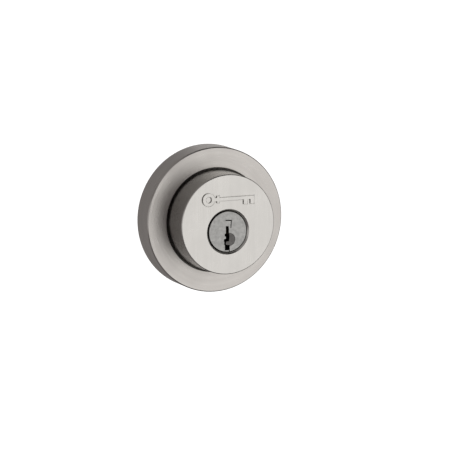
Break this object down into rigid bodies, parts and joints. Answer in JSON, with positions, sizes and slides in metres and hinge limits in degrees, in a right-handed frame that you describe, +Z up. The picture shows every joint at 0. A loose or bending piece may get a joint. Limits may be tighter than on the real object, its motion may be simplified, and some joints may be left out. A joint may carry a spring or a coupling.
{
  "type": "deadbolt door lock",
  "caption": "Keyed outside half of a deadbolt: round rose, offset collar, key plug with pins, racks and sidebar, and a half-round blade that turns the bolt.",
  "frame": {"origin": "the plug's axis where it meets the face of the door, level with the rose's back edge", "axes": "+Y into the door along the plug's axis, +Z up, +X to the right as seen from outside"},
  "size_m": [0.066, 0.082, 0.066],
  "materials": {
    "satin_nickel": "satin nickel plate, brushed in circles on the rose and straight up on the collar's face",
    "plug_nickel": "fine matt nickel plate",
    "zinc_casting": "bare die casting",
    "plated_steel": "zinc-plated steel",
    "spring_steel": "drawn wire and strip",
    "hard_steel": "dark hardened steel",
    "brass": "turned and drawn brass",
    "black_plastic": "moulded plastic"
  },
  "bodies": {
    "trim": {"rose": "satin_nickel", "collar": "satin_nickel", "mounting_plate": "zinc_casting", "adapter_ring": "black_plastic", "cylinder_body": "zinc_casting", "cylinder_keeper": "plated_steel", "keeper_screw_1": "plated_steel", "keeper_screw_2": "plated_steel"},
    "plug": {"plug_body": "plug_nickel", "anti_drill_insert": "hard_steel", "pin_spring_cover": "brass", "plug_clip": "spring_steel", "driver_cap": "zinc_casting", "cap_screw_1": "plated_steel", "cap_screw_2": "plated_steel", "carrier_spring": "spring_steel", "pin_spring_1": "spring_steel", "pin_spring_2": "spring_steel", "pin_spring_3": "spring_steel", "pin_spring_4": "spring_steel", "pin_spring_5": "spring_steel"},
    "carrier": {"rack_carrier": "zinc_casting", "sidebar_spring_1": "spring_steel", "sidebar_spring_2": "spring_steel"},
    "sidebar": {"sidebar": "brass"},
    "torque_blade": {"torque_blade": "plated_steel"},
    "pin_1": {"pin_1": "brass"},
    "rack_1": {"rack_1": "plated_steel"},
    "pin_2": {"pin_2": "brass"},
    "rack_2": {"rack_2": "plated_steel"},
    "pin_3": {"pin_3": "brass"},
    "rack_3": {"rack_3": "plated_steel"},
    "pin_4": {"pin_4": "brass"},
    "rack_4": {"rack_4": "plated_steel"},
    "pin_5": {"pin_5": "brass"},
    "rack_5": {"rack_5": "plated_steel"}
  },
  "joints": [
    {"name": "plug_turn", "type": "hinge", "parent": "trim", "child": "plug", "pos_m": [0, 0, 0], "axis": [0, 1, 0], "range_deg": [-90, 90]},
    {"name": "blade_free_play", "type": "hinge", "parent": "plug", "child": "torque_blade", "pos_m": [0, 0, 0], "axis": [0, 1, 0], "range_deg": [0, 90]},
    {"name": "carrier_shift", "type": "slide", "parent": "plug", "child": "carrier", "axis": [0, 1, 0], "range_m": [0, 0.0019], "stiffness_N_per_m": 300, "deforming": ["carrier_spring"]},
    {"name": "sidebar_retract", "type": "slide", "parent": "carrier", "child": "sidebar", "axis": [1, 0, 0], "range_m": [-0.0005, 0], "stiffness_N_per_m": 200, "deforming": ["sidebar_spring_1", "sidebar_spring_2"]},
    {"name": "pin_1_lift", "type": "slide", "parent": "plug", "child": "pin_1", "axis": [0, 0, 1], "range_m": [0, 0.0024], "stiffness_N_per_m": 100, "deforming": ["pin_spring_1"]},
    {"name": "rack_1_slide", "type": "slide", "parent": "carrier", "child": "rack_1", "axis": [0, 0, 1], "range_m": [0, 0.0024]},
    {"name": "pin_2_lift", "type": "slide", "parent": "plug", "child": "pin_2", "axis": [0, 0, 1], "range_m": [0, 0.0024], "stiffness_N_per_m": 100, "deforming": ["pin_spring_2"]},
    {"name": "rack_2_slide", "type": "slide", "parent": "carrier", "child": "rack_2", "axis": [0, 0, 1], "range_m": [0, 0.0024]},
    {"name": "pin_3_lift", "type": "slide", "parent": "plug", "child": "pin_3", "axis": [0, 0, 1], "range_m": [0, 0.0024], "stiffness_N_per_m": 100, "deforming": ["pin_spring_3"]},
    {"name": "rack_3_slide", "type": "slide", "parent": "carrier", "child": "rack_3", "axis": [0, 0, 1], "range_m": [0, 0.0024]},
    {"name": "pin_4_lift", "type": "slide", "parent": "plug", "child": "pin_4", "axis": [0, 0, 1], "range_m": [0, 0.0024], "stiffness_N_per_m": 100, "deforming": ["pin_spring_4"]},
    {"name": "rack_4_slide", "type": "slide", "parent": "carrier", "child": "rack_4", "axis": [0, 0, 1], "range_m": [0, 0.0024]},
    {"name": "pin_5_lift", "type": "slide", "parent": "plug", "child": "pin_5", "axis": [0, 0, 1], "range_m": [0, 0.0024], "stiffness_N_per_m": 100, "deforming": ["pin_spring_5"]},
    {"name": "rack_5_slide", "type": "slide", "parent": "carrier", "child": "rack_5", "axis": [0, 0, 1], "range_m": [0, 0.0024]}
  ],
  "couplings": [
    {"joint": "rack_1_slide", "follows": "pin_1_lift", "ratio": 1},
    {"joint": "rack_2_slide", "follows": "pin_2_lift", "ratio": 1},
    {"joint": "rack_3_slide", "follows": "pin_3_lift", "ratio": 1},
    {"joint": "rack_4_slide", "follows": "pin_4_lift", "ratio": 1},
    {"joint": "rack_5_slide", "follows": "pin_5_lift", "ratio": 1}
  ]
}
